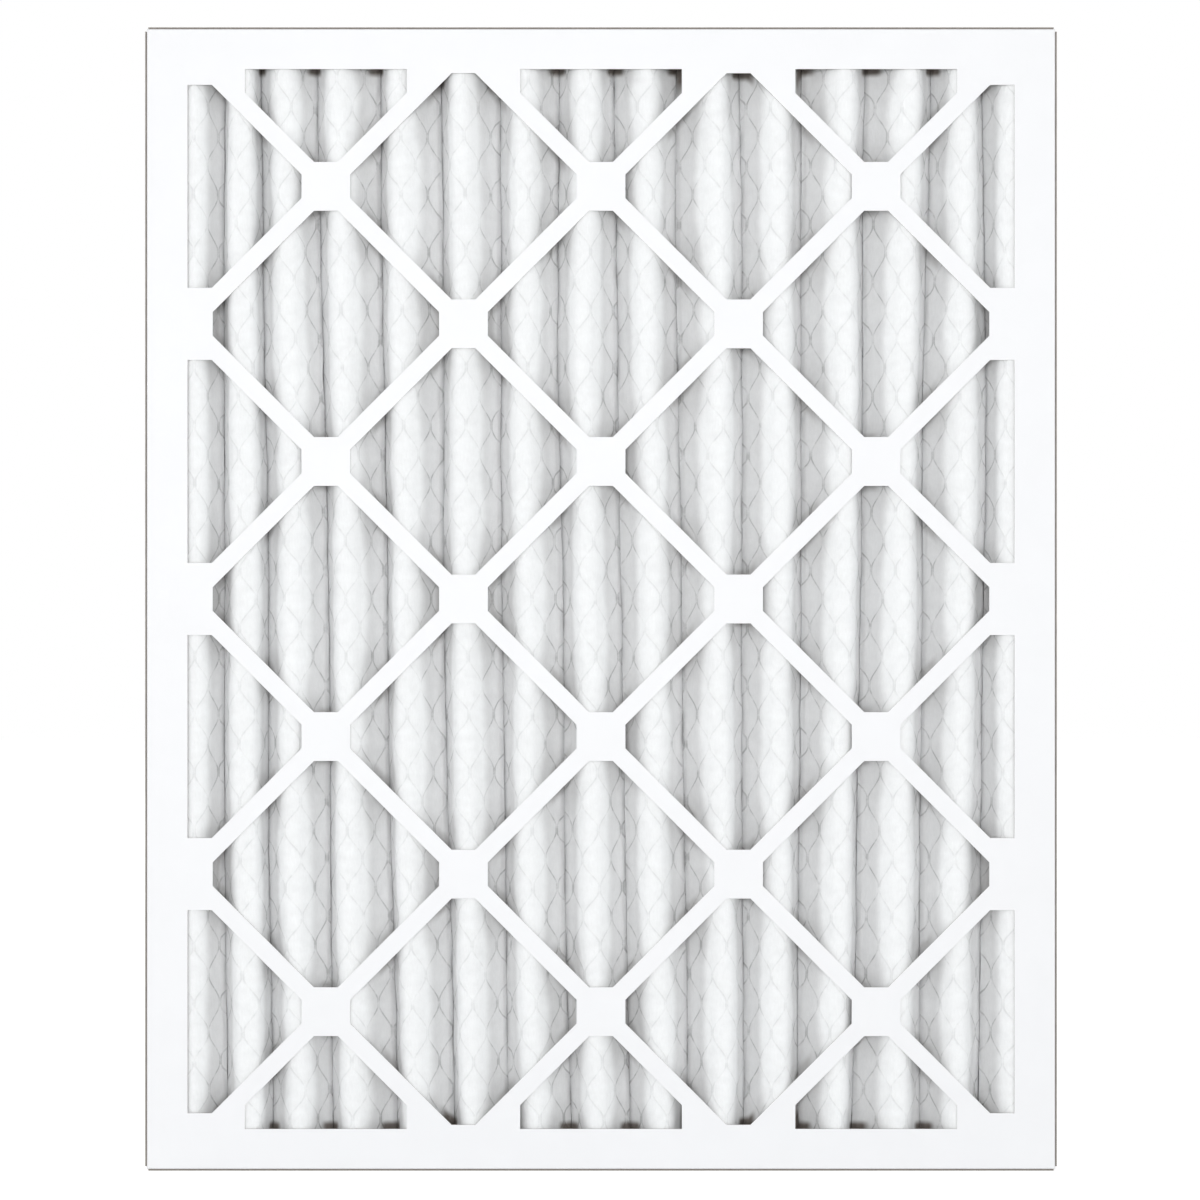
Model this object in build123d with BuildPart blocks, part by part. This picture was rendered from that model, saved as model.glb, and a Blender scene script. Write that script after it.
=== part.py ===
"""Pleated panel air filter, nominal 16 x 20 x 2 in, standing on its bottom edge.

Two die-cut beverage-board trays telescope into each other and hold a pleat pack between their
lattice faces. The pack is one sheet of non-woven media folded with a sheet of expanded metal
behind it, and beads of adhesive seal its four sides to the inner tray.

Millimetres. X runs across the face, Z up along the pleats and Y from the front face to the
back. The origin is the middle of the bottom edge.
"""

import os
from math import acos, atan2, cos, radians, sin

from build123d import *

INCH = 25.4

# Outside of the filter.
WIDTH = 15.75 * INCH
HEIGHT = 19.75 * INCH
DEPTH = 1.75 * INCH

# Board, and how the inner tray sits in the outer one.
BOARD = 0.7
SLIP = 0.1
CREASE_RADIUS = 0.5
TAB_LENGTH = 28.0
TAB_SETBACK = 3.0
SIDE_WALL_TAPER = 2.0
END_WALL_TAPER = 0.7

# Lattice die: openings between 45 degree struts that cross at octagonal pads.
LATTICE_PITCH = 4.75 * INCH
STRUT_WIDTH = 7.75
PAD_ACROSS_FLATS = 21.4
WINDOW_WIDTH = 362.6
WINDOW_HEIGHT = 464.8
SIDE_OPENING_HEIGHT = 89.0
END_OPENING_WIDTH = 70.9

# Pleat pack. The folds were spaced by hand, so their pitch isn't quite even.
MEDIA_THICKNESS = 1.6
WIRE_THICKNESS = 0.6
SEAT_GAP = 0.05
FOLD_RADIUS = 4.6
FIRST_FRONT_FOLD = -183.4
LAST_FRONT_FOLD = 184.8
REAR_FOLDS = (
    -170.7, -147.3, -121.7, -94.8, -69.2, -43.4, -17.5,
    8.5, 35.0, 62.0, 88.0, 115.0, 142.6, 172.0,
)
SHEET_END_INSET = 2.2
SHEET_END_SETBACK = 1.5

# Expanded metal, drawn with few large diamonds, staggered from one flank to the next.
DIAMONDS_PER_FLANK = 4
DIAMOND_DEPTH = 28.0
STRAND_WIDTH = 3.0

# Adhesive beads.
END_BEAD_THICKNESS = 1.6
END_BEAD_WIDTH = 30.0
END_BEAD_ROUND = 0.9
SIDE_BEAD_DEPTH = 16.0

# Sizes that follow from those above.
MIDDLE = HEIGHT / 2
INNER_WIDTH = WIDTH - 2 * (BOARD + SLIP)
INNER_HEIGHT = HEIGHT - 2 * (BOARD + SLIP)
ROOM_WIDTH = INNER_WIDTH - 2 * BOARD
ROOM_HEIGHT = INNER_HEIGHT - 2 * BOARD
PACK_DEPTH = DEPTH - 2 * (BOARD + SEAT_GAP)
PACK_HEIGHT = ROOM_HEIGHT - 2 * (END_BEAD_THICKNESS + 2 * SEAT_GAP)
PACK_PLANE = Plane.XY.offset(MIDDLE - PACK_HEIGHT / 2)
WIRE_FRONT = MEDIA_THICKNESS / 2 + SEAT_GAP
WIRE_BACK = WIRE_FRONT + WIRE_THICKNESS
FOLD_REACH = (PACK_DEPTH - MEDIA_THICKNESS / 2 - WIRE_BACK) / 2
SHEET_Y = FOLD_REACH + MEDIA_THICKNESS / 2 - PACK_DEPTH / 2
OPENING_REACH = LATTICE_PITCH / 2 - STRUT_WIDTH / 2 * 2**0.5
OPENING_TIP = LATTICE_PITCH / 2 - PAD_ACROSS_FLATS / 2
OPENING_FLAT = OPENING_REACH - OPENING_TIP
FRONT, REAR = -1, 1


def whole_opening():
    """Corners of a whole opening, an octagon with |x| + |y| = OPENING_REACH on its long sides."""
    lower = [
        (-OPENING_TIP, -OPENING_FLAT),
        (-OPENING_FLAT, -OPENING_TIP),
        (OPENING_FLAT, -OPENING_TIP),
        (OPENING_TIP, -OPENING_FLAT),
    ]
    return lower + [(-x, -y) for x, y in lower]


def edge_opening(half_width, border):
    """Corners of an opening that is cut off by the border, its tip pointing down.

    Above the slanting sides it is upright, half_width from its middle, up to the border.
    """
    shoulder = half_width - OPENING_REACH
    right = [(OPENING_FLAT, -OPENING_TIP), (half_width, shoulder), (half_width, border)]
    return [(-x, y) for x, y in reversed(right)] + right


def lattice_openings(face):
    """Sketch of every opening that the die cuts in one face."""
    end = edge_opening(END_OPENING_WIDTH / 2, WINDOW_HEIGHT / 2 - 2 * LATTICE_PITCH)
    side = edge_opening(SIDE_OPENING_HEIGHT / 2, WINDOW_WIDTH / 2 - 1.5 * LATTICE_PITCH)
    with BuildSketch(face) as openings:
        with GridLocations(LATTICE_PITCH, LATTICE_PITCH, 3, 3):
            Polygon(*whole_opening())
        with GridLocations(LATTICE_PITCH, LATTICE_PITCH, 2, 4):
            Polygon(*whole_opening())
        for way in (1, -1):
            with Locations((0, way * 2 * LATTICE_PITCH)):
                with GridLocations(LATTICE_PITCH, 0, 3, 1):
                    Polygon(*end, rotation=90 - 90 * way)
            with Locations((way * 1.5 * LATTICE_PITCH, 0)):
                with GridLocations(0, LATTICE_PITCH, 1, 4):
                    Polygon(*side, rotation=-90 * way)
    return openings.sketch


def wall_plane(normal, distance, outward):
    """Outside of a wall, distance from the middle, with local y running back from the face."""
    back = Vector(0, -outward, 0)
    origin = Vector(0, outward * DEPTH / 2, MIDDLE) + normal * distance
    return Plane(origin, x_dir=back.cross(normal), z_dir=normal)


def wall_corners(length, wall, taper):
    """Corners of a flat wall: its crease on y = 0, its free edge shorter by taper at each end."""
    half = length / 2
    return [(-half, 0), (half, 0), (half - taper, wall), (taper - half, wall)]


def folded_tray(width, height, wall, outward, end_taper, tabs):
    """A tray folded from one die-cut blank: a lattice face and four walls.

    outward is the way along Y that the face looks, and wall is how far the walls reach back.
    The end walls stand just inside the side walls. With tabs they turn round each corner and
    run down inside the side wall, where they are glued.
    """
    face = Plane((0, outward * DEPTH / 2, MIDDLE), x_dir=(-outward, 0, 0), z_dir=(0, outward, 0))
    openings = lattice_openings(face)
    end_width = width - 2 * (BOARD + SLIP)
    tab_corners = [
        (height / 2, BOARD + SLIP),
        (height / 2 - TAB_LENGTH, BOARD + TAB_SETBACK),
        (height / 2 - TAB_LENGTH, wall - TAB_SETBACK),
        (height / 2, wall),
    ]
    with BuildPart() as tray:
        with BuildSketch(face):
            Rectangle(width, height)
        extrude(amount=-BOARD)
        for way in (1, -1):
            with BuildSketch(wall_plane(Vector(way, 0, 0), width / 2, outward)):
                Polygon(*wall_corners(height, wall, SIDE_WALL_TAPER))
            extrude(amount=-BOARD)
            with BuildSketch(wall_plane(Vector(0, 0, way), height / 2, outward)):
                Polygon(*wall_corners(end_width, wall, end_taper))
            extrude(amount=-BOARD)
            if tabs:
                with BuildSketch(wall_plane(Vector(way, 0, 0), end_width / 2, outward)):
                    Polygon(*tab_corners)
                    Polygon(*[(-x, y) for x, y in tab_corners])
                extrude(amount=-BOARD)
        outside = tray.faces().sort_by(Axis.Y)[0 if outward == FRONT else -1]
        fillet(outside.outer_wire().edges(), CREASE_RADIUS)
        extrude(openings, amount=-BOARD, mode=Mode.SUBTRACT)
    return tray.part


def pack_folds():
    """Every fold of the sheet and its two ends, left to right, as (x, side, bend, reach).

    A front fold stands midway between two rear ones. The ends have no bend, and stop a little
    short of the rear lattice.
    """
    midway = [(a + b) / 2 for a, b in zip(REAR_FOLDS, REAR_FOLDS[1:])]
    front = [FIRST_FRONT_FOLD, *midway, LAST_FRONT_FOLD]
    folds = [(x, FRONT, FOLD_RADIUS, FOLD_REACH) for x in front]
    folds += [(x, REAR, FOLD_RADIUS, FOLD_REACH) for x in REAR_FOLDS]
    end_x = ROOM_WIDTH / 2 - SHEET_END_INSET
    end_reach = FOLD_REACH - SHEET_END_SETBACK
    left, right = [(x, REAR, 0, end_reach) for x in (-end_x, end_x)]
    return [left, *sorted(folds), right]


FOLDS = pack_folds()


def bend_circle(fold, behind):
    """Centre and radius of a fold's bend, on the surface that is so far behind the middle."""
    x, side, bend, reach = fold
    return Vector(x, SHEET_Y + side * (reach - bend)), bend + side * behind


def flank(left, right, behind):
    """Ends of the straight flank between two folds: the tangent that crosses between them."""
    (start, start_radius), (end, end_radius) = bend_circle(left, behind), bend_circle(right, behind)
    across = end - start
    lean = atan2(across.Y, across.X) + left[1] * acos((start_radius + end_radius) / across.length)
    normal = Vector(cos(lean), sin(lean))
    return start + normal * start_radius, end - normal * end_radius


def bend_corners(fold, behind, before, after):
    """Four corners that stand for a fold's bend in metal, whose strands stay straight.

    They lie a quarter and three quarters of the way from the tip to each flank. Round a rear
    fold the strands go outside the bend, and in a front fold they stay inside it.
    """
    centre, radius = bend_circle(fold, behind)
    tip = Vector(0, fold[1])
    corners = []
    for flank_end, shares in ((before, (0.75, 0.25)), (after, (0.25, 0.75))):
        turn = tip.get_signed_angle(flank_end - centre, Vector(0, 0, 1))
        reach = radius / cos(radians(turn) / 4) if fold[1] == REAR else radius
        corners += [centre + (tip * reach).rotate(Axis.Z, turn * share) for share in shares]
    return corners


def draw_folded_line(behind, straight_strands):
    """Draws the sheet's section at one depth and returns its first and last point."""
    flanks = [flank(a, b, behind) for a, b in zip(FOLDS, FOLDS[1:])]
    for start, end in flanks:
        Line(start, end)
    for fold, (_, before), (after, _) in zip(FOLDS[1:], flanks, flanks[1:]):
        if straight_strands:
            Polyline(before, *bend_corners(fold, behind, before, after), after)
        else:
            centre, radius = bend_circle(fold, behind)
            ThreePointArc(before, centre + Vector(0, fold[1] * radius), after)
    return flanks[0][0], flanks[-1][1]


def folded_sheet(near, far, straight_strands=False):
    """A sheet folded into the pleats, between two distances behind the media's middle."""
    with BuildPart() as sheet:
        with BuildSketch(PACK_PLANE):
            with BuildLine():
                near_left, near_right = draw_folded_line(near, straight_strands)
                far_left, far_right = draw_folded_line(far, straight_strands)
                Line(near_left, far_left)
                Line(near_right, far_right)
            make_face()
        extrude(amount=PACK_HEIGHT)
    return sheet.part


# Inner tray, with the front lattice. Its walls reach back to the rear face.
front_frame = folded_tray(INNER_WIDTH, INNER_HEIGHT, DEPTH - BOARD - SLIP, FRONT, 0, tabs=True)

# Outer tray, with the rear lattice. Its walls end flush with the front face.
rear_frame = folded_tray(WIDTH, HEIGHT, DEPTH, REAR, END_WALL_TAPER, tabs=False)

# Media, one sheet folded into fifteen pleats.
pleated_media = folded_sheet(-MEDIA_THICKNESS / 2, MEDIA_THICKNESS / 2)

# Expanded metal, folded with the media and lying against its back.
with BuildPart() as wire_support:
    add(folded_sheet(WIRE_FRONT, WIRE_BACK, straight_strands=True))
    diamond_pitch = PACK_HEIGHT / (DIAMONDS_PER_FLANK + 0.5)
    half_depth = DIAMOND_DEPTH / 2
    half_length = diamond_pitch / 2 - STRAND_WIDTH
    for number, (left, right) in enumerate(zip(FOLDS, FOLDS[1:])):
        stagger = diamond_pitch / 4 * (-1) ** number
        with BuildSketch(Plane.YZ.offset(left[0])):
            with Locations((SHEET_Y + WIRE_FRONT, MIDDLE + stagger)):
                with GridLocations(0, diamond_pitch, 1, DIAMONDS_PER_FLANK):
                    Polygon((-half_depth, 0), (0, -half_length), (half_depth, 0), (0, half_length))
        extrude(amount=right[0] - left[0], mode=Mode.SUBTRACT)


def end_adhesive(way):
    """Bead along an end wall, with the cut ends of the pleats against it."""
    tab_inside = INNER_WIDTH / 2 - 2 * BOARD - SLIP
    wall_side = MIDDLE + way * (ROOM_HEIGHT / 2 - SEAT_GAP)
    with BuildPart() as bead:
        with BuildSketch(Plane.YZ):
            with Locations((0, wall_side - way * END_BEAD_THICKNESS / 2)):
                Rectangle(END_BEAD_WIDTH, END_BEAD_THICKNESS)
            inside = vertices().group_by(Axis.Y)[0 if way > 0 else -1]
            fillet(inside, END_BEAD_ROUND)
        extrude(amount=tab_inside - SEAT_GAP, both=True)
    return bead.part


def side_adhesive(end, fold):
    """Bead in the wedge between a side wall and the last flank, with a hollow front edge."""
    way = 1 if end[0] > 0 else -1
    wall_x = way * (ROOM_WIDTH / 2 - SEAT_GAP)
    surface = -(MEDIA_THICKNESS / 2 + SEAT_GAP)
    if way > 0:
        fold_point, end_point = flank(fold, end, surface)
    else:
        end_point, fold_point = flank(end, fold, surface)
    along = (fold_point - end_point).normalized()
    front_point = end_point + along * SIDE_BEAD_DEPTH
    wall_back = Vector(wall_x, end_point.Y)
    wall_front = Vector(wall_x, front_point.Y)
    hollow = (front_point + wall_front) / 2 + Vector(0, abs(wall_x - front_point.X) / 4)
    clear_height = INNER_HEIGHT - 2 * (TAB_LENGTH + SEAT_GAP)
    with BuildPart() as bead:
        with BuildSketch(Plane.XY.offset(MIDDLE)):
            with BuildLine():
                Polyline(front_point, end_point, wall_back, wall_front)
                ThreePointArc(wall_front, hollow, front_point)
            make_face()
        extrude(amount=clear_height / 2, both=True)
    return bead.part


pieces = {
    "front_frame": front_frame,
    "rear_frame": rear_frame,
    "pleated_media": pleated_media,
    "wire_support": wire_support.part,
    "top_adhesive": end_adhesive(1),
    "bottom_adhesive": end_adhesive(-1),
    "left_adhesive": side_adhesive(FOLDS[0], FOLDS[1]),
    "right_adhesive": side_adhesive(FOLDS[-1], FOLDS[-2]),
}

os.makedirs("parts", exist_ok=True)
for label, piece in pieces.items():
    piece.label = label
    export_step(piece, f"parts/{label}.step")
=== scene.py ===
"""Pleated panel air filter: the finish of its board trays, its folded media and its metal support.

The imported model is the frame. The two trays and the four beads of adhesive keep their own shape
and get a finish. The folded media and the expanded metal behind it are made here as surfaces.

Shapes are worked out in millimetres, X across the face, Z up along the pleats and Y from the
front face to the back, and are turned to metres as they go into a mesh.
"""

import math

import bpy
import numpy as np
from bpy.props import FloatProperty, FloatVectorProperty, IntProperty, PointerProperty
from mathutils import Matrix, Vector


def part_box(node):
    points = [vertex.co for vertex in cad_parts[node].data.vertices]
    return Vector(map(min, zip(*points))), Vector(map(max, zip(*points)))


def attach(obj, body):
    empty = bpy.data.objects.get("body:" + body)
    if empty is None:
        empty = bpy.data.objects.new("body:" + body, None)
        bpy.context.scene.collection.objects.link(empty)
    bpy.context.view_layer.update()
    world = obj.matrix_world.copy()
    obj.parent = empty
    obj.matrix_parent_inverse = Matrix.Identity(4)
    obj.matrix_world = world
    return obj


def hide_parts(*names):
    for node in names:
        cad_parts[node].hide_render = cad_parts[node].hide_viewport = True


bl_info = {
    "name": "Pleated panel air filter",
    "version": (1, 0, 0),
    "blender": (4, 5, 0),
    "location": "View3D > Sidebar > Filter",
    "description": "Finishes a pleated panel air filter: media, expanded metal, board and glue",
    "category": "Object",
}

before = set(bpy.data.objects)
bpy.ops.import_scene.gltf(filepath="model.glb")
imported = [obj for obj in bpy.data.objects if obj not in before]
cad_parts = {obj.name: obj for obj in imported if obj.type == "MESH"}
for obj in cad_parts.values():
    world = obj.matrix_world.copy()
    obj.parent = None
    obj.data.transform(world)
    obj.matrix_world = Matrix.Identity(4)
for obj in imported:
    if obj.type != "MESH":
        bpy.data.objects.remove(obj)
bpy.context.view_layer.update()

MM = 0.001


def box_mm(name):
    """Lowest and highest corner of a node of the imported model, in millimetres."""
    return [np.array(corner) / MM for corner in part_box(name)]


OUTER_LOW, OUTER_HIGH = box_mm("rear_frame")
INNER_LOW, INNER_HIGH = box_mm("front_frame")
SHEET_LOW, SHEET_HIGH = box_mm("pleated_media")
SUPPORT_BACK = box_mm("wire_support")[1][1]
MIDDLE_Z = (OUTER_LOW[2] + OUTER_HIGH[2]) / 2

# Lattice of the die-cut face: octagonal openings on two crossing square grids.
LATTICE_PITCH = 120.65
OPENING_REACH = 54.84
OPENING_TIP = 49.625
WINDOW_WIDTH = 362.6
WINDOW_HEIGHT = 464.8
SIDE_OPENING_HEIGHT = 89.0
END_OPENING_WIDTH = 70.9

# The front face looks along -Y and the rear face along +Y.
FRONT, REAR = -1, 1

# Where each rear fold lies at the top, the middle and the bottom of the sheet. The pleats were
# spread by hand, so they wander.
REAR_FOLDS = (
    (-165.6, -165.9, -165.0),
    (-150.2, -147.0, -144.6),
    (-125.6, -120.4, -118.2),
    (-98.0, -94.0, -90.0),
    (-70.2, -68.6, -64.4),
    (-44.2, -43.6, -39.8),
    (-19.0, -17.3, -12.8),
    (5.2, 9.0, 13.2),
    (32.6, 35.4, 38.2),
    (60.8, 62.4, 62.4),
    (88.4, 88.0, 87.0),
    (116.8, 114.2, 110.2),
    (145.4, 141.4, 140.8),
    (168.4, 168.8, 166.0),
)
OUTERMOST_CRESTS = ((-179.0, -179.2, -178.6), (180.6, 180.8, 180.0))
# How far each crest leans off the middle of its two rear folds, as a share of their distance.
# The pleats lean outwards on both sides of the filter.
CREST_LEANS = (0.0, -0.05, -0.13, -0.15, -0.11, -0.06, -0.03, 0.01, 0.08, 0.09, 0.15, 0.13, 0.08)

# A side of a hood of this reach has its shoulder at this share of it. The share grows by so
# much for each millimetre less, within its two bounds.
USUAL_REACH = 12.0
SHOULDER_SHARE, SHARE_GROWS, SHARE_BOUNDS = 0.28, 0.1, (0.08, 0.8)
# The foot of a side takes this share of what its reach has beyond a short one, within bounds.
FOOT_SHARE, SHORT_REACH, FOOT_BOUNDS = 0.35, 7.0, (0.3, 3.5)

# How far a pleat swells and how uneven the sheet is grow over these distances into an opening.
SWELL_OVER, LOOSE_OVER = 17.0, 9.0
# A swelling fades out this far behind the crests.
SWELL_DEPTH = 15.0
LUMP_HEIGHT = 0.16

# Behind the crests, where painted shade turns the flanks of a pleat grey and where painted
# shade turns the valleys dark brown.
FLANK_FROM, FLANK_TO = 1.5, 5.0
VALLEY_FROM, VALLEY_TO = 5.5, 8.0

# How far past its clamp a strand would swing, which makes the bonds as long as they are.
STRAND_SWING = 1.1


def linear(hex_colour):
    """An sRGB hex colour as linear red, green and blue."""
    parts = [int(hex_colour[i : i + 2], 16) / 255 for i in (1, 3, 5)]
    return [c / 12.92 if c <= 0.04045 else ((c + 0.055) / 1.055) ** 2.4 for c in parts]


def rgba(colour):
    """A linear colour with full opacity."""
    return (*colour, 1.0)


def smooth_step(t):
    """3t^2 - 2t^3 between nought and one, flat outside."""
    t = np.clip(t, 0.0, 1.0)
    return t * t * (3 - 2 * t)


# ------------------------------------------------------------------------------- settings


class MediaSettings(bpy.types.PropertyGroup):
    """Sizes and colours of the folded fibre sheet, with the colours of its painted shade."""

    thickness: FloatProperty(
        name="Thickness", description="Thickness of the fibre sheet",
        default=1.6 * MM, min=0.5 * MM, unit="LENGTH",
    )
    hood_depth: FloatProperty(
        name="Hood depth", description="From a crest to the neck where two hoods meet",
        default=8.5 * MM, min=4 * MM, unit="LENGTH",
    )
    shoulder: FloatProperty(
        name="Shoulder", description="Length over which a crest turns into its slope",
        default=0.9 * MM, min=0.3 * MM, unit="LENGTH",
    )
    neck_gap: FloatProperty(
        name="Neck gap", description="From the middle of a valley to the sheet at its neck",
        default=0.84 * MM, min=0.8 * MM, unit="LENGTH",
    )
    rear_radius: FloatProperty(
        name="Rear fold radius", description="Radius of a fold at the back of a valley",
        default=4.0 * MM, min=1.5 * MM, unit="LENGTH",
    )
    bulge: FloatProperty(
        name="Bulge", description="How far a fold swells into an opening",
        default=1.6 * MM, min=0.0, unit="LENGTH",
    )
    colour: FloatVectorProperty(
        name="Fibre colour", description="Colour of the polyester fibre",
        default=linear("#F8FAFB"), size=3, subtype="COLOR", min=0, max=1,
    )
    # Painted shade: the flanks of a pleat are painted this grey.
    flank_shade_colour: FloatVectorProperty(
        name="Flank colour", description="Colour of the sheet on the flanks of a pleat",
        default=linear("#DCDDDE"), size=3, subtype="COLOR", min=0, max=1,
    )
    # Painted shade: the ends of the valleys under the board are painted this dark brown.
    valley_shade_colour: FloatVectorProperty(
        name="Valley shade colour", description="Colour of the valleys where they run under the board",
        default=linear("#5A5048"), size=3, subtype="COLOR", min=0, max=1,
    )
    light_reach: FloatProperty(
        name="Light reach", description="How far light spreads inside the fibre sheet",
        default=5.0 * MM, min=0.1 * MM, unit="LENGTH",
    )
    # Painted shadow: the strands behind the sheet are painted as darker lines in its colour.
    painted_strand_shadow: FloatProperty(
        name="Strand shadow", description="How strongly the metal shows through the sheet",
        default=0.27, min=0.0, max=1.0, subtype="FACTOR",
    )


class SupportSettings(bpy.types.PropertyGroup):
    """Sizes and colour of the expanded metal."""

    long_way: FloatProperty(
        name="Long way", description="Diamond length, along the pleats",
        default=25.4 * MM, min=5 * MM, unit="LENGTH",
    )
    short_way: FloatProperty(
        name="Short way", description="Diamond width, across the pleats",
        default=12.7 * MM, min=3 * MM, unit="LENGTH",
    )
    strand_width: FloatProperty(
        name="Strand width", description="Width of one slit strand",
        default=0.8 * MM, min=0.2 * MM, unit="LENGTH",
    )
    strand_thickness: FloatProperty(
        name="Strand thickness", description="Thickness of the slit sheet",
        default=0.45 * MM, min=0.1 * MM, unit="LENGTH",
    )
    steps: IntProperty(
        name="Steps", description="Steps along a strand between two bonds", default=3, min=2,
    )
    colour: FloatVectorProperty(
        name="Zinc colour", description="Colour of the galvanised strands",
        default=linear("#A7A9AA"), size=3, subtype="COLOR", min=0, max=1,
    )


class BoardSettings(bpy.types.PropertyGroup):
    """Colours of the two trays and their glue."""

    coating: FloatVectorProperty(
        name="Coating", description="Colour of the clay-coated outside",
        default=linear("#F1F2F4"), size=3, subtype="COLOR", min=0, max=1,
    )
    kraft: FloatVectorProperty(
        name="Kraft", description="Colour of the uncoated inside and the cut edges",
        default=linear("#98918A"), size=3, subtype="COLOR", min=0, max=1,
    )
    glue: FloatVectorProperty(
        name="Glue", description="Colour of the dried adhesive",
        default=linear("#E6E1D4"), size=3, subtype="COLOR", min=0, max=1,
    )


class StageSettings(bpy.types.PropertyGroup):
    """Camera, lamps and floor."""

    distance: FloatProperty(
        name="Camera distance", description="From the front face to the camera",
        default=1.64, min=0.5, unit="LENGTH",
    )
    shift: FloatProperty(
        name="Camera shift", description="Right and up, as a share of the picture's width",
        default=-1 / 1200,
    )
    face_share: FloatProperty(
        name="Face share", description="Share of the picture's width that the face takes",
        default=0.7602, min=0.1, max=1.0, subtype="FACTOR",
    )
    key: FloatProperty(
        name="Key", description="Level of the front lamp on a white face", default=0.46, min=0.0,
    )
    ambient: FloatProperty(
        name="Ambient", description="Level of the light from all round", default=0.5, min=0.0,
    )
    floor_colour: FloatVectorProperty(
        name="Floor", description="Colour of the studio floor",
        default=linear("#F4F4F4"), size=3, subtype="COLOR", min=0, max=1,
    )
    floor_lift: FloatProperty(
        name="Floor lift", description="Light that lifts the floor in view to white",
        default=0.55, min=0.0,
    )


# ------------------------------------------------------------------------ folded surface


def opening_depth(x, z):
    """How far a point of the face lies inside an opening, in mm; below nought under board.

    An opening is where |dx| + |dz| is under its reach and both are under its tip, from the
    middle of the opening. The window and the upright sides of the cut-off openings bound it.
    """
    high = z - MIDDLE_Z
    depth = np.full(np.broadcast(x, z).shape, -1e3)
    for shift in (0.0, LATTICE_PITCH / 2):
        wrapped = [
            np.abs((p - shift + LATTICE_PITCH / 2) % LATTICE_PITCH - LATTICE_PITCH / 2)
            for p in (x, high)
        ]
        dx, dz = np.broadcast_arrays(*wrapped)
        half_width = np.where((shift == 0) & (np.abs(high) > 1.75 * LATTICE_PITCH),
                              END_OPENING_WIDTH / 2, OPENING_TIP)
        half_height = np.where((shift > 0) & (np.abs(x) > 1.25 * LATTICE_PITCH),
                               SIDE_OPENING_HEIGHT / 2, OPENING_TIP)
        inside = np.minimum(half_width - dx, half_height - dz)
        inside = np.minimum(inside, (OPENING_REACH - dx - dz) / math.sqrt(2))
        depth = np.maximum(depth, inside)
    window = np.minimum(WINDOW_WIDTH / 2 - np.abs(x), WINDOW_HEIGHT / 2 - np.abs(high))
    return np.minimum(depth, window)


def ripples(rng, across, along, count, wavelengths):
    """Sum of plane waves of random heading and phase, of about unit height.

    across and along are places on the flat sheet in mm, wavelengths the shortest and longest.
    """
    total = np.zeros(np.broadcast(across, along).shape)
    for _ in range(count):
        heading, phase = rng.uniform(0, 2 * math.pi, 2)
        number = 2 * math.pi / rng.uniform(*wavelengths)
        total += np.sin(number * (across * math.cos(heading) + along * math.sin(heading)) + phase)
    return total / math.sqrt(count)


def fold_places(rng, share):
    """x of the rear folds and of the crests, one row a fold from left to right.

    share gives the heights and runs from -1 at the bottom of the sheet to 1 at its top. A rear
    fold follows the parabola through its three places, and a crest runs beside the middle of
    its neighbours by its lean. Slow sine waves of random phase make each one stray a little.
    """
    def parabola(places):
        top, middle, bottom = (np.array(places)[:, i : i + 1] for i in range(3))
        return middle + share * (top - bottom) / 2 + share**2 * ((top + bottom) / 2 - middle)

    def stray(height):
        waves = [(rng.uniform(0, 7), rng.uniform(3.0, 7.5)) for _ in range(2)]
        return height * sum(np.sin(rate * share + phase) for phase, rate in waves)

    rear = np.stack([row + stray(0.35) for row in parabola(REAR_FOLDS)])
    first, last = parabola(OUTERMOST_CRESTS)
    lean = 0.5 + np.array(CREST_LEANS)[:, None]
    crest = np.vstack([first, rear[:-1] * (1 - lean) + rear[1:] * lean, last])
    crest = np.stack([row + stray(0.3) for row in crest])
    end = SHEET_HIGH[0] + np.zeros_like(share)
    return np.vstack([-end, rear, end]), crest


def folded_surface(media, rows=126):
    """The middle of the folded sheet as a grid: points, normals to the rear, across and along.

    across is the mean length along the folded section up to a column, and along is the height
    of a row above the sheet's lower edge.
    """
    rng = np.random.default_rng(11)
    z = np.linspace(SHEET_LOW[2], SHEET_HIGH[2], rows + 1)
    rear, crest = fold_places(rng, (z - MIDDLE_Z) / (SHEET_HIGH[2] - MIDDLE_Z))
    uneven = 1 + 0.07 * ripples(rng, crest, z[None], 9, (40.0, 120.0))
    section = folded_section(rear, crest, media.hood_depth / MM * uneven, media)
    across = np.hypot(*np.moveaxis(np.diff(section, axis=1), -1, 0)).mean(axis=0)
    across = np.concatenate([[0.0], np.cumsum(across)])
    along = z - z[0]

    # The crests swell into the openings, and the whole sheet is a little uneven.
    x, y = section[..., 0], section[..., 1]
    height = np.broadcast_to(z[:, None], x.shape)
    inside = opening_depth(x, height)
    swell = media.bulge / MM * smooth_step(inside / SWELL_OVER)
    y = y - swell * smooth_step((front_crests(media) + SWELL_DEPTH - y) / SWELL_DEPTH)
    loose = smooth_step(inside / LOOSE_OVER + 0.3)
    lumps = ripples(rng, across[None], along[:, None], 16, (13.0, 34.0))
    points = np.stack([x, y, height], axis=-1)
    points = points + grid_normals(points) * (LUMP_HEIGHT * loose * lumps)[..., None]
    return points, grid_normals(points), across, along


def front_crests(media):
    """y of the middle of the sheet at its crests, before it swells."""
    return SHEET_LOW[1] + media.thickness / MM / 2


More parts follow.
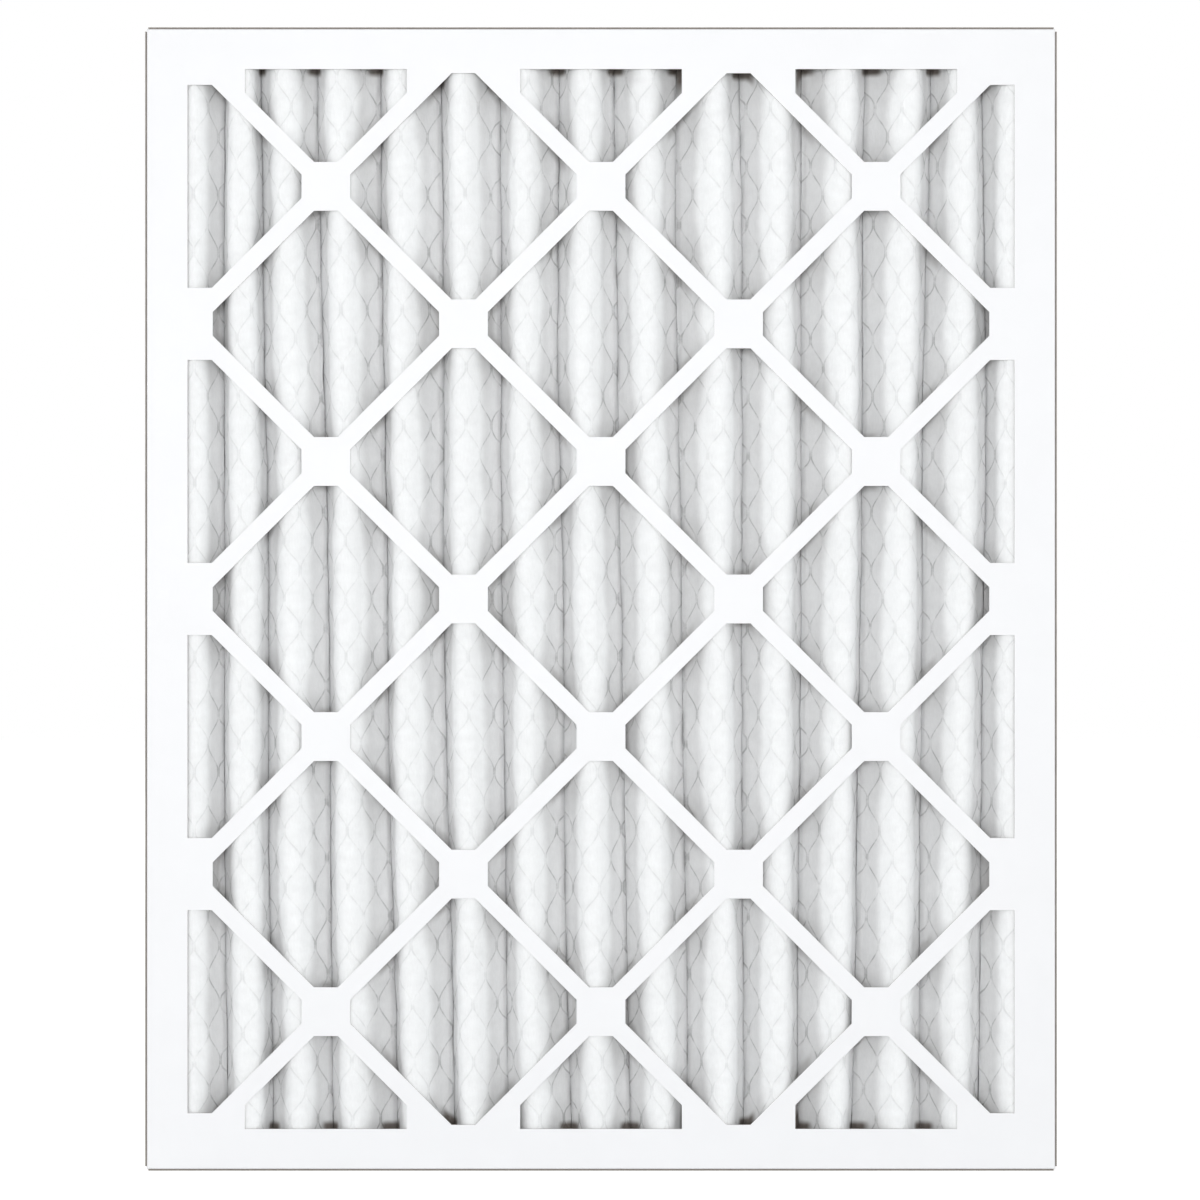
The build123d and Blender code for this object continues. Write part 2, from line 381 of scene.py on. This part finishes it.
def folded_section(rear, crest, drop, media, hood_steps=9, leg_steps=3, arc_steps=6):
    """x and y along the section at each height, a row of hoods with a rear fold between two.

    A hood falls by its drop from its crest to a neck on either side, close beside the next
    hood. A straight leg runs from the neck to the circle of the rear fold and touches it.
    """
    rear_y = SHEET_HIGH[1] - media.thickness / MM / 2
    bend = media.rear_radius / MM

    def ahead_of(places, radius):
        return np.stack([places, np.full_like(places, rear_y - radius)], axis=-1)

    centre = ahead_of(rear, bend)
    sheet_ends = ahead_of(rear[[0, -1]], 1.5)
    turn = np.linspace(0, 1, arc_steps + 1)[:-1, None]
    u = np.linspace(-1, 1, 2 * hood_steps + 1)[:, None]
    columns = []
    touch = sheet_ends[0]
    for fold, middle in enumerate(crest):
        reach = np.where(u < 0, middle - rear[fold], rear[fold + 1] - middle)
        reach = reach - media.neck_gap / MM
        fall = hood_fall(np.abs(u), reach, media.shoulder / MM)
        hood = np.stack([middle + u * reach, front_crests(media) + drop[fold] * fall], axis=-1)
        columns += straight(touch, hood[0], leg_steps) + list(hood[:-1])
        if fold == len(crest) - 1:
            columns += straight(hood[-1], sheet_ends[1], leg_steps) + [sheet_ends[1]]
            break
        # The rear circle runs from the leg of this hood round to the leg of the next.
        next_neck = np.stack([rear[fold + 1] + media.neck_gap / MM,
                              front_crests(media) + drop[fold + 1]], axis=-1)
        ways = []
        for neck, side in ((hood[-1], -1), (next_neck, 1)):
            off = neck - centre[fold + 1]
            ways.append(np.arctan2(off[:, 1], off[:, 0])
                        + side * np.arccos(bend / np.hypot(*off.T)))
        angle = (ways[0] + 2 * math.pi) * (1 - turn) + ways[1] * turn
        arc = centre[fold + 1] + bend * np.stack([np.cos(angle), np.sin(angle)], axis=-1)
        columns += straight(hood[-1], arc[0], leg_steps) + list(arc)
        touch = centre[fold + 1] + bend * np.stack([np.cos(ways[1]), np.sin(ways[1])], axis=-1)
    return np.stack(columns, axis=1)


def hood_fall(u, reach, shoulder):
    """How far a hood has fallen at a share u of its reach, nought at the crest and one at its end.

    It is flat up to a shoulder, slopes straight down and flattens again towards its foot. A
    short side has its shoulder near its end, so it is almost upright. Both turns are rounded
    as log(1 + e^t).
    """
    turn_at = np.clip(SHOULDER_SHARE + SHARE_GROWS * (USUAL_REACH - reach), *SHARE_BOUNDS) * reach
    foot_at = reach - np.clip(FOOT_SHARE * (reach - SHORT_REACH), *FOOT_BOUNDS)

    def softly(x):
        return (np.logaddexp(0.0, (x - turn_at) / shoulder)
                - np.logaddexp(0.0, (x - foot_at) / shoulder))

    return (softly(u * reach) - softly(0.0)) / (softly(reach) - softly(0.0))


def straight(start, end, steps):
    """Columns on the straight line from start to end, without its last."""
    return [start * (1 - t) + end * t for t in np.linspace(0, 1, steps + 1)[:-1]]


def grid_normals(points):
    """Unit normals of a grid of points, the cross product of its two slopes, facing the rear."""
    rise, run = np.gradient(points, axis=(0, 1))
    normals = np.cross(rise, run)
    return normals / np.linalg.norm(normals, axis=-1, keepdims=True)


def unit(vectors):
    """Vectors at unit length."""
    return vectors / np.linalg.norm(vectors, axis=-1, keepdims=True)


def interpolate(grid, across, along, u, v):
    """Values of a grid at places u across and v along, straight between its points."""
    u, v = np.broadcast_arrays(u, v)
    column = np.clip(np.searchsorted(across, u) - 1, 0, len(across) - 2)
    row = np.clip(np.searchsorted(along, v) - 1, 0, len(along) - 2)
    s = (u - across[column]) / (across[column + 1] - across[column])
    t = (v - along[row]) / (along[row + 1] - along[row])
    s, t = np.clip(s, 0, 1)[..., None], np.clip(t, 0, 1)[..., None]
    lower = grid[row, column] * (1 - s) + grid[row, column + 1] * s
    upper = grid[row + 1, column] * (1 - s) + grid[row + 1, column + 1] * s
    return lower * (1 - t) + upper * t


def new_piece(name, vertices_mm, faces, material, uv=None, smooth=True):
    """An object at the origin with a mesh of quads in metres; uv has one pair a vertex."""
    mesh = bpy.data.meshes.new(name)
    mesh.from_pydata([], [], [])
    vertices = np.asarray(vertices_mm, float).reshape(-1, 3) * MM
    faces = np.asarray(faces, np.int32).reshape(-1, 4)
    mesh.vertices.add(len(vertices))
    mesh.vertices.foreach_set("co", vertices.ravel())
    mesh.loops.add(faces.size)
    mesh.loops.foreach_set("vertex_index", faces.ravel())
    mesh.polygons.add(len(faces))
    mesh.polygons.foreach_set("loop_start", np.arange(0, faces.size, 4, dtype=np.int32))
    mesh.polygons.foreach_set("use_smooth", np.full(len(faces), smooth))
    mesh.update(calc_edges=True)
    if uv is not None:
        layer = mesh.uv_layers.new(name="flat_sheet")
        layer.data.foreach_set("uv", (np.asarray(uv)[faces.ravel()] * MM).ravel())
    if mesh.validate():
        raise RuntimeError(f"{name} has faces that don't hold together")
    mesh.materials.append(material)
    piece = bpy.data.objects.new(name, mesh)
    bpy.context.scene.collection.objects.link(piece)
    return piece


def grid_faces(rows, columns, first=0):
    """Quads of a grid whose vertices run along its rows, wound from corner to corner."""
    corner = first + np.arange(rows - 1)[:, None] * columns + np.arange(columns - 1)
    quads = np.stack([corner, corner + 1, corner + columns + 1, corner + columns], axis=-1)
    return quads.reshape(-1, 4)


# ---------------------------------------------------------------------------- materials


def new_material(name):
    """An empty node material, its tree and its surface shader."""
    material = bpy.data.materials.new(name)
    material.use_nodes = True
    tree = material.node_tree
    shader = tree.nodes["Principled BSDF"]
    return material, tree, shader


def add_node(tree, kind, inputs=None, **settings):
    """Adds a node with its settings. An input is a value, or an output socket to link."""
    node = tree.nodes.new(kind)
    for name, value in settings.items():
        setattr(node, name, value)
    for socket, value in (inputs or {}).items():
        if isinstance(value, bpy.types.NodeSocket):
            tree.links.new(value, node.inputs[socket])
        else:
            node.inputs[socket].default_value = value
    return node


def calc(tree, operation, *values):
    """The result of a sum on up to three values or sockets."""
    return add_node(tree, "ShaderNodeMath", dict(enumerate(values)), operation=operation).outputs[0]


def vector_calc(tree, operation, *values):
    """The result of a sum on vectors, also on a colour and the level that shades it."""
    return add_node(tree, "ShaderNodeVectorMath", dict(enumerate(values)),
                    operation=operation).outputs[0]


def ramp(tree, value, start, end, at_start=0.0, at_end=1.0, smooth=False):
    """A level that changes as value goes from start to end, and holds before and after."""
    kind = "SMOOTHSTEP" if smooth else "LINEAR"
    return add_node(tree, "ShaderNodeMapRange",
                    {"Value": value, "From Min": start, "From Max": end,
                     "To Min": at_start, "To Max": at_end}, interpolation_type=kind).outputs[0]


def noise(tree, vector, scale, **inputs):
    """Noise of about nought to one, with scale grains to a metre."""
    return add_node(tree, "ShaderNodeTexNoise",
                    {"Vector": vector, "Scale": scale, **inputs}).outputs[0]


def mix(tree, factor, first, second):
    """A colour between two, each a value or a socket."""
    return add_node(tree, "ShaderNodeMix", {"Factor": factor, "A": first, "B": second},
                    data_type="RGBA").outputs["Result"]


def raise_relief(tree, shader, height, strength, distance_mm):
    """Bends the light as if the surface rose by height times the distance."""
    bump = add_node(tree, "ShaderNodeBump",
                    {"Height": height, "Strength": strength, "Distance": distance_mm * MM})
    tree.links.new(bump.outputs[0], shader.inputs["Normal"])


def object_place(tree):
    """A point of the model in metres."""
    return add_node(tree, "ShaderNodeTexCoord").outputs["Object"]


def strand_pattern(tree, uv, support):
    """One along the strands behind the sheet and nought in the diamonds between them.

    In strips as wide as half a diamond, each mirrored from its neighbour, a strand swings once
    up and down in a diamond's length.
    """
    half_diamond = support.short_way / 2
    flat = add_node(tree, "ShaderNodeSeparateXYZ", {0: uv})
    strips = calc(tree, "DIVIDE", flat.outputs[0], half_diamond)
    mirrored = calc(tree, "PINGPONG", strips, 1.0)
    turns = calc(tree, "MULTIPLY", flat.outputs[1], 2 * math.pi / support.long_way)
    swing = calc(tree, "SINE", turns)
    reach = 0.5 - 0.45 * support.strand_width / half_diamond
    strand_at = calc(tree, "MULTIPLY_ADD", swing, STRAND_SWING * reach, 0.5)
    strand_at = add_node(tree, "ShaderNodeClamp",
                         {"Value": strand_at, "Min": 0.5 - reach, "Max": 0.5 + reach}).outputs[0]
    off_strand = calc(tree, "ABSOLUTE", calc(tree, "SUBTRACT", mirrored, strand_at))
    strip_mm = half_diamond / MM
    return ramp(tree, off_strand, 0.12 / strip_mm, 0.55 / strip_mm, 1.0, 0.0, smooth=True)


def painted_valley_shade(tree, behind):
    """A mask of painted shade: one in the valleys where they run under the board, nought a few
    millimetres further in.

    It is strongest at the top and bottom borders.
    """
    inside = add_node(tree, "ShaderNodeAttribute", attribute_name="into_opening").outputs["Fac"]
    under = ramp(tree, inside, 0.3 * MM, 3.2 * MM, 1.0, 0.0, smooth=True)
    height = add_node(tree, "ShaderNodeSeparateXYZ", {0: object_place(tree)}).outputs[2]
    height = calc(tree, "ABSOLUTE", calc(tree, "SUBTRACT", height, MIDDLE_Z * MM))
    border = WINDOW_HEIGHT / 2 * MM
    at_border = ramp(tree, height, border - 10.4 * MM, border - 4.4 * MM, 0.3, 0.9)
    valley = ramp(tree, behind, (SHEET_LOW[1] + VALLEY_FROM) * MM,
                  (SHEET_LOW[1] + VALLEY_TO) * MM, smooth=True)
    return calc(tree, "MULTIPLY", calc(tree, "MULTIPLY", under, at_border), valley)


def nonwoven_media(media, support):
    """Non-woven polyester, dry-laid fibre bonded to the metal behind it.

    The eye gets a matt white sheet with cloudy fibre. The flanks of a pleat are painted grey as
    painted shade, and the diamonds of the strands are painted shadow, stronger there. The ends of
    the valleys under the board are painted dark brown as painted shade. Light spreads inside it.
    """
    material, tree, shader = new_material("nonwoven_polyester_media")
    uv = add_node(tree, "ShaderNodeUVMap", uv_map="flat_sheet").outputs[0]
    strand = strand_pattern(tree, uv, support)

    # Cloudy formation of the laid fibre, clumps of about 6 mm and single fibres of 0.8 mm.
    clouds = noise(tree, uv, 170.0, Detail=5.0, Roughness=0.62)
    along_fibres = add_node(tree, "ShaderNodeMapping",
                            {"Vector": uv, "Rotation": (0, 0, 0.5), "Scale": (1.0, 0.22, 1.0)})
    fibres = noise(tree, along_fibres.outputs[0], 1300.0, Detail=3.0, Roughness=0.6,
                   Distortion=0.6)
    tint = calc(tree, "MULTIPLY", ramp(tree, clouds, 0.3, 0.7, 0.955, 1.03),
                ramp(tree, fibres, 0.3, 0.7, 0.97, 1.02))

    # A flank is nought at the crests and one a few millimetres behind them; it sets the painted
    # shade that greys the flanks.
    behind = add_node(tree, "ShaderNodeSeparateXYZ", {0: object_place(tree)}).outputs[1]
    flank = ramp(tree, behind, (SHEET_LOW[1] + FLANK_FROM) * MM,
                 (SHEET_LOW[1] + FLANK_TO) * MM, smooth=True)
    body = mix(tree, flank, rgba(media.colour), rgba(media.flank_shade_colour))
    # Painted shadow of the strands, stronger on the flanks and patchy with the clouds.
    show = ramp(tree, flank, 0.0, 1.0, 0.3 * media.painted_strand_shadow, media.painted_strand_shadow)
    show = calc(tree, "MULTIPLY", show, ramp(tree, clouds, 0.4, 0.6, 1.4, 0.3))
    lit = calc(tree, "SUBTRACT", 1.0, calc(tree, "MULTIPLY", show, strand))
    fibre = vector_calc(tree, "MULTIPLY", body, calc(tree, "MULTIPLY", tint, lit))

    # Painted shade: the ends of a valley, where they run under the board, are painted dark brown.
    colour = mix(tree, painted_valley_shade(tree, behind), fibre, rgba(media.valley_shade_colour))
    tree.links.new(colour, shader.inputs["Base Color"])

    # The strands press a ridge, and the fibre is lumpy.
    relief = calc(tree, "MULTIPLY_ADD", strand, 0.35, clouds)
    relief = calc(tree, "MULTIPLY_ADD", fibres, 0.25, relief)
    raise_relief(tree, shader, relief, 0.55, 0.5)
    shader.inputs["Roughness"].default_value = 0.92
    tree.links.new(ramp(tree, flank, 0.0, 1.0, 0.15, 1.0), shader.inputs["Subsurface Weight"])
    shader.inputs["Subsurface Radius"].default_value = (1.0, 1.0, 1.0)
    shader.inputs["Subsurface Scale"].default_value = media.light_reach
    shader.inputs["IOR"].default_value = 1.5
    shader.inputs["Specular IOR Level"].default_value = 0.2
    return material


def galvanised_steel(support):
    """Hot-dip galvanised low-carbon steel, slit and expanded.

    The eye gets dull zinc grey with faint spangle, brighter on the slit faces.
    """
    material, tree, shader = new_material("galvanised_expanded_steel")
    place = object_place(tree)
    spangle = add_node(tree, "ShaderNodeTexVoronoi", {"Vector": place, "Scale": 260.0})
    level = ramp(tree, spangle.outputs["Distance"], 0.0, 0.8, 0.86, 1.08)
    colour = vector_calc(tree, "MULTIPLY", tuple(support.colour), level)
    tree.links.new(colour, shader.inputs["Base Color"])
    rough = ramp(tree, noise(tree, place, 900.0, Detail=3.0), 0.0, 1.0, 0.34, 0.56)
    tree.links.new(rough, shader.inputs["Roughness"])
    shader.inputs["Metallic"].default_value = 1.0
    return material


def box_distance(tree, place, centre, half):
    """Distance from a box, negative within it. half is the box's half width, depth and height."""
    from_centre = vector_calc(tree, "ABSOLUTE", vector_calc(tree, "SUBTRACT", place, centre))
    beyond = vector_calc(tree, "SUBTRACT", from_centre, half)
    outside = add_node(tree, "ShaderNodeVectorMath",
                       {0: vector_calc(tree, "MAXIMUM", beyond, (0, 0, 0))},
                       operation="LENGTH").outputs["Value"]
    parts = add_node(tree, "ShaderNodeSeparateXYZ", {0: beyond}).outputs
    inside = calc(tree, "MAXIMUM", calc(tree, "MAXIMUM", parts[0], parts[1]), parts[2])
    return calc(tree, "ADD", outside, calc(tree, "MINIMUM", inside, 0.0))


def coated_board(name, low, high, outward, board):
    """Beverage board: clay-coated white outside, bare kraft inside and on its cut edges.

    The eye gets a satin white face with a faint fibre grain, and brown where the die cut it.
    The coating is where a point lies on the outside of the tray's own box, whose edges are
    creased round and whose open side is far away.
    """
    material, tree, shader = new_material(name)
    place = object_place(tree)
    crease, long_way = 0.5 * MM, 60 * MM
    face_y = (low[1] if outward == FRONT else high[1]) * MM
    centre = ((low[0] + high[0]) / 2 * MM, face_y - outward * long_way,
              (low[2] + high[2]) / 2 * MM)
    half = ((high[0] - low[0]) / 2 * MM - crease, long_way - crease,
            (high[2] - low[2]) / 2 * MM - crease)
    coated = ramp(tree, box_distance(tree, place, centre, half),
                  crease - 0.17 * MM, crease - 0.11 * MM)

    # Grain of the board runs up it, in flecks about 0.7 mm wide and 5 mm long.
    stretched = add_node(tree, "ShaderNodeMapping", {"Vector": place, "Scale": (1, 1, 0.14)})
    grain = noise(tree, stretched.outputs[0], 1400.0, Detail=4.0, Roughness=0.65)
    clouds = noise(tree, place, 45.0, Detail=4.0)
    white = vector_calc(tree, "MULTIPLY", tuple(board.coating),
                        ramp(tree, clouds, 0.3, 0.7, 0.985, 1.0))
    brown = vector_calc(tree, "MULTIPLY", tuple(board.kraft),
                        ramp(tree, grain, 0.3, 0.7, 0.78, 1.14))
    tree.links.new(mix(tree, coated, brown, white), shader.inputs["Base Color"])
    tree.links.new(ramp(tree, coated, 0.0, 1.0, 0.88, 0.42), shader.inputs["Roughness"])
    raise_relief(tree, shader, calc(tree, "MULTIPLY_ADD", clouds, 2.0, grain), 0.2, 0.12)
    shader.inputs["IOR"].default_value = 1.5
    shader.inputs["Specular IOR Level"].default_value = 0.3
    return material


def dried_glue(board):
    """Water-based adhesive, run on as a bead and dried.

    The eye gets an off-white, slightly shiny skin with lumps of a few millimetres.
    """
    material, tree, shader = new_material("dried_adhesive")
    lumps = noise(tree, object_place(tree), 240.0, Detail=3.0)
    colour = vector_calc(tree, "MULTIPLY", tuple(board.glue),
                         ramp(tree, lumps, 0.3, 0.7, 0.88, 1.04))
    tree.links.new(colour, shader.inputs["Base Color"])
    raise_relief(tree, shader, lumps, 0.6, 0.8)
    shader.inputs["Roughness"].default_value = 0.38
    shader.inputs["IOR"].default_value = 1.47
    return material


def finish_node(name, material):
    """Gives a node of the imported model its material."""
    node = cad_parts[name]
    node.data.materials.clear()
    node.data.materials.append(material)


# ---------------------------------------------------------------------------- operators


class FILTER_OT_trays(bpy.types.Operator):
    """Finishes the inner and the outer tray as coated board"""

    bl_idname = "filter.trays"
    bl_label = "Board trays"

    def execute(self, context):
        board = context.scene.filter_board
        finish_node("front_frame", coated_board(
            "clay_coated_board_inner_tray", INNER_LOW, INNER_HIGH, FRONT, board))
        finish_node("rear_frame", coated_board(
            "clay_coated_board_outer_tray", OUTER_LOW, OUTER_HIGH, REAR, board))
        return {"FINISHED"}


class FILTER_OT_adhesive(bpy.types.Operator):
    """Finishes the four beads of adhesive"""

    bl_idname = "filter.adhesive"
    bl_label = "Adhesive"

    def execute(self, context):
        glue = dried_glue(context.scene.filter_board)
        for edge in ("top", "bottom", "left", "right"):
            finish_node(f"{edge}_adhesive", glue)
        return {"FINISHED"}


class FILTER_OT_media(bpy.types.Operator):
    """Makes the folded media, one sheet that swells into the openings of the lattice"""

    bl_idname = "filter.media"
    bl_label = "Folded media"

    def execute(self, context):
        """The sheet is its middle surface moved half its thickness each way, closed round."""
        media, support = context.scene.filter_media, context.scene.filter_support
        points, normals, across, along = folded_surface(media)
        rows, columns = points.shape[:2]
        half = media.thickness / MM / 2
        faces_of_sheet = [points - normals * half, points + normals * half]
        near = grid_faces(rows, columns)
        far = near[:, ::-1] + rows * columns
        index = np.arange(rows * columns).reshape(rows, columns)
        rim = np.concatenate([index[0], index[1:, -1], index[-1, -2::-1], index[-2:0:-1, 0]])
        after = np.roll(rim, -1)
        behind = rows * columns
        edge = np.stack([after, rim, rim + behind, after + behind], axis=-1)
        flat = np.stack(np.broadcast_arrays(across[None], along[:, None]), axis=-1)
        uv = np.concatenate([flat.reshape(-1, 2)] * 2)
        piece = new_piece("media_sheet", np.stack(faces_of_sheet),
                          np.concatenate([near, far, edge]), nonwoven_media(media, support), uv)
        inside = np.clip(opening_depth(points[..., 0], points[..., 2]), -10.0, 20.0)
        attribute = piece.data.attributes.new("into_opening", "FLOAT", "POINT")
        attribute.data.foreach_set("value", np.tile(inside.ravel() * MM, 2))
        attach(piece, "root")
        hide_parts("pleated_media")
        return {"FINISHED"}


class FILTER_OT_support(bpy.types.Operator):
    """Makes the expanded metal that is folded with the media and lies against its back"""

    bl_idname = "filter.support"
    bl_label = "Expanded metal"

    def execute(self, context):
        """Each strand is a flat bar laid on the sheet's back along a clamped sine.

        Neighbouring strands swing opposite ways and meet at the bonds.
        """
        media, support = context.scene.filter_media, context.scene.filter_support
        points, normals, across, along = folded_surface(media)
        strip = support.short_way / MM / 2
        width = support.strand_width / MM
        rate = 2 * math.pi / (support.long_way / MM)
        strands = int(across[-1] / strip)
        rings = int(along[-1] * rate / math.pi * support.steps)
        v = np.minimum(np.arange(rings) / support.steps * math.pi / rate, along[-1])
        reach = strip / 2 - 0.45 * width
        swing = np.clip(np.sin(rate * v) * STRAND_SWING, -1, 1) * reach
        number = np.arange(strands)[:, None]
        u = (number + 0.5) * strip + swing[None] * (-1.0) ** number
        surface = np.concatenate([points, normals], axis=-1)
        near = SUPPORT_BACK - SHEET_HIGH[1] - support.strand_thickness / MM
        near = max(near, 0.05) + media.thickness / MM / 2
        corners = []
        for aside, behind in ((-0.5, 0), (0.5, 0), (0.5, 1), (-0.5, 1)):
            on = interpolate(surface, across, along, u + aside * width, v[None])
            offset = near + behind * support.strand_thickness / MM
            corners.append(on[..., :3] + unit(on[..., 3:]) * offset)
        vertices = np.stack(corners, axis=2)
        ring = (np.arange(strands)[:, None] * rings + np.arange(rings)) * 4
        this, following = ring[:, :-1, None], ring[:, 1:, None]
        corner, next_corner = np.arange(4), (np.arange(4) + 1) % 4
        sides = np.stack([this + corner, this + next_corner,
                          following + next_corner, following + corner], axis=-1)
        ends = np.concatenate([ring[:, :1] + [3, 2, 1, 0], ring[:, -1:] + [0, 1, 2, 3]])
        faces = np.concatenate([sides.reshape(-1, 4), ends])
        piece = new_piece("expanded_metal", vertices, faces, galvanised_steel(support),
                          smooth=False)
        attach(piece, "root")
        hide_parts("wire_support")
        return {"FINISHED"}


class FILTER_OT_stage(bpy.types.Operator):
    """Sets the camera straight in front, the lamps, and the pale floor"""

    bl_idname = "filter.stage"
    bl_label = "Studio"

    def execute(self, context):
        stage, scene = context.scene.filter_stage, context.scene
        scene.view_settings.view_transform = "Standard"

        camera_data = bpy.data.cameras.new("camera")
        camera_data.sensor_width = 36.0
        width = (OUTER_HIGH[0] - OUTER_LOW[0]) * MM
        camera_data.lens = 36.0 * stage.face_share * stage.distance / width
        camera_data.clip_start, camera_data.clip_end = 0.05, 50.0
        camera_data.shift_x = camera_data.shift_y = stage.shift
        camera = bpy.data.objects.new("camera", camera_data)
        camera.location = (0.0, OUTER_LOW[1] * MM - stage.distance, MIDDLE_Z * MM)
        camera.rotation_euler = (math.pi / 2, 0, 0)
        scene.collection.objects.link(camera)
        scene.camera = camera

        add_lamp("key_lamp", (-0.15, -3.4, 0.5), (1.3, 0.9), stage.key, 3.4)
        add_lamp("back_lamp", (-0.9, 3.0, 1.1), (1.4, 1.0), 0.3, 3.2)
        add_lamp("left_lamp", (-3.0, 0.9, 0.9), (1.0, 1.0), 0.2, 3.2)
        add_lamp("right_lamp", (3.0, 0.9, 0.9), (1.0, 1.0), 0.2, 3.2)

        world = bpy.data.worlds.new("studio")
        world.use_nodes = True
        scene.world = world
        tree = world.node_tree
        strength = ramp(tree, seen_ray(tree), 0.0, 1.0, stage.ambient, 1.0)
        background = tree.nodes["Background"]
        background.inputs["Color"].default_value = (1, 1, 1, 1)
        tree.links.new(strength, background.inputs["Strength"])

        # The floor is pale paper; what the camera sees of it is lifted to white.
        material, tree, shader = new_material("floor_paper")
        raise_relief(tree, shader, noise(tree, object_place(tree), 300.0), 0.05, 0.2)
        shader.inputs["Base Color"].default_value = rgba(stage.floor_colour)
        shader.inputs["Roughness"].default_value = 0.9
        shader.inputs["Specular IOR Level"].default_value = 0.1
        shader.inputs["Emission Color"].default_value = (1, 1, 1, 1)
        lift = calc(tree, "MULTIPLY", seen_ray(tree), stage.floor_lift)
        tree.links.new(lift, shader.inputs["Emission Strength"])
        half = 5000.0
        floor = new_piece("floor", [(-half, -half, 0), (half, -half, 0), (half, half, 0),
                                    (-half, half, 0)], [(0, 1, 2, 3)], material)
        return {"FINISHED"}


def seen_ray(tree):
    """One on a ray that carries the picture, straight or through gloss; nought on the rest."""
    path = add_node(tree, "ShaderNodeLightPath")
    seen = path.outputs["Is Camera Ray"]
    for kind in ("Is Glossy Ray", "Is Transmission Ray"):
        seen = calc(tree, "MAXIMUM", seen, path.outputs[kind])
    return seen


def add_lamp(name, place, size, level, distance):
    """A soft panel that faces the middle of the filter and lights a white face to level.

    A panel of radiance L gives about L * area / distance^2, and white returns that over pi.
    """
    lamp_data = bpy.data.lights.new(name, "AREA")
    lamp_data.shape = "RECTANGLE"
    lamp_data.size, lamp_data.size_y = size
    lamp_data.energy = level * math.pi**2 * distance**2
    lamp = bpy.data.objects.new(name, lamp_data)
    lamp.location = place
    aim = np.array((0.0, 0.0, MIDDLE_Z * MM)) - np.array(place)
    lamp.rotation_euler = (
        math.acos(-aim[2] / np.linalg.norm(aim)), 0.0, math.atan2(aim[1], aim[0]) - math.pi / 2
    )
    bpy.context.scene.collection.objects.link(lamp)
    return lamp


class FILTER_PT_sidebar(bpy.types.Panel):
    """Lists the settings and the operators"""

    bl_idname = "FILTER_PT_sidebar"
    bl_label = "Pleated filter"
    bl_space_type = "VIEW_3D"
    bl_region_type = "UI"
    bl_category = "Filter"

    def draw(self, context):
        for group, operators in PANEL_GROUPS:
            box = self.layout.box()
            settings = getattr(context.scene, group)
            for name in settings.__annotations__:
                box.prop(settings, name)
            for operator in operators:
                box.operator(operator.bl_idname)


PANEL_GROUPS = (
    ("filter_board", (FILTER_OT_trays, FILTER_OT_adhesive)),
    ("filter_media", (FILTER_OT_media,)),
    ("filter_support", (FILTER_OT_support,)),
    ("filter_stage", (FILTER_OT_stage,)),
)
SETTINGS = {
    "filter_board": BoardSettings,
    "filter_media": MediaSettings,
    "filter_support": SupportSettings,
    "filter_stage": StageSettings,
}
OPERATORS = [operator for _, operators in PANEL_GROUPS for operator in operators]


def register():
    for cls in (*SETTINGS.values(), *OPERATORS, FILTER_PT_sidebar):
        bpy.utils.register_class(cls)
    for name, group in SETTINGS.items():
        setattr(bpy.types.Scene, name, PointerProperty(type=group))


def unregister():
    for name in SETTINGS:
        delattr(bpy.types.Scene, name)
    for cls in (FILTER_PT_sidebar, *reversed(OPERATORS), *reversed(SETTINGS.values())):
        bpy.utils.unregister_class(cls)


def main():
    register()
    bpy.ops.filter.trays()
    bpy.ops.filter.adhesive()
    bpy.ops.filter.media()
    bpy.ops.filter.support()
    bpy.ops.filter.stage()


if __name__ == "__main__":
    main()
